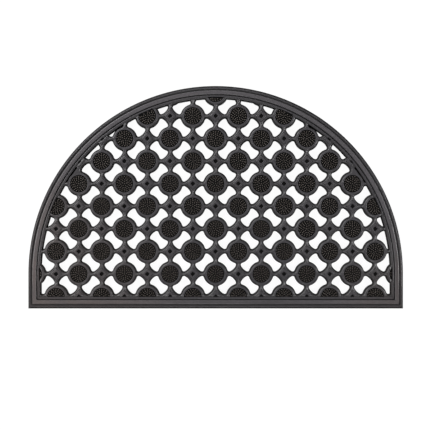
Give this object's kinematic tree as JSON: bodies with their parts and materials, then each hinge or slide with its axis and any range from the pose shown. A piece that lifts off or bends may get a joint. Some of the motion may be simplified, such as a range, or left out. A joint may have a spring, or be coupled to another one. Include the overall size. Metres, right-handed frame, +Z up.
{
  "type": "half round rubber doormat",
  "caption": "Half round moulded rubber doormat: a ridged border round an openwork web of pin-filled discs and pointed stars, lying flat on the floor.",
  "frame": {"origin": "on the floor, under the middle of the mat's outer box", "axes": "+X along the straight edge, +Y toward the round side, +Z up"},
  "size_m": [0.75, 0.4454, 0.01],
  "materials": {
    "rubber": "matte compression-moulded"
  },
  "bodies": {
    "root": {"mat": "rubber"}
  },
  "joints": []
}
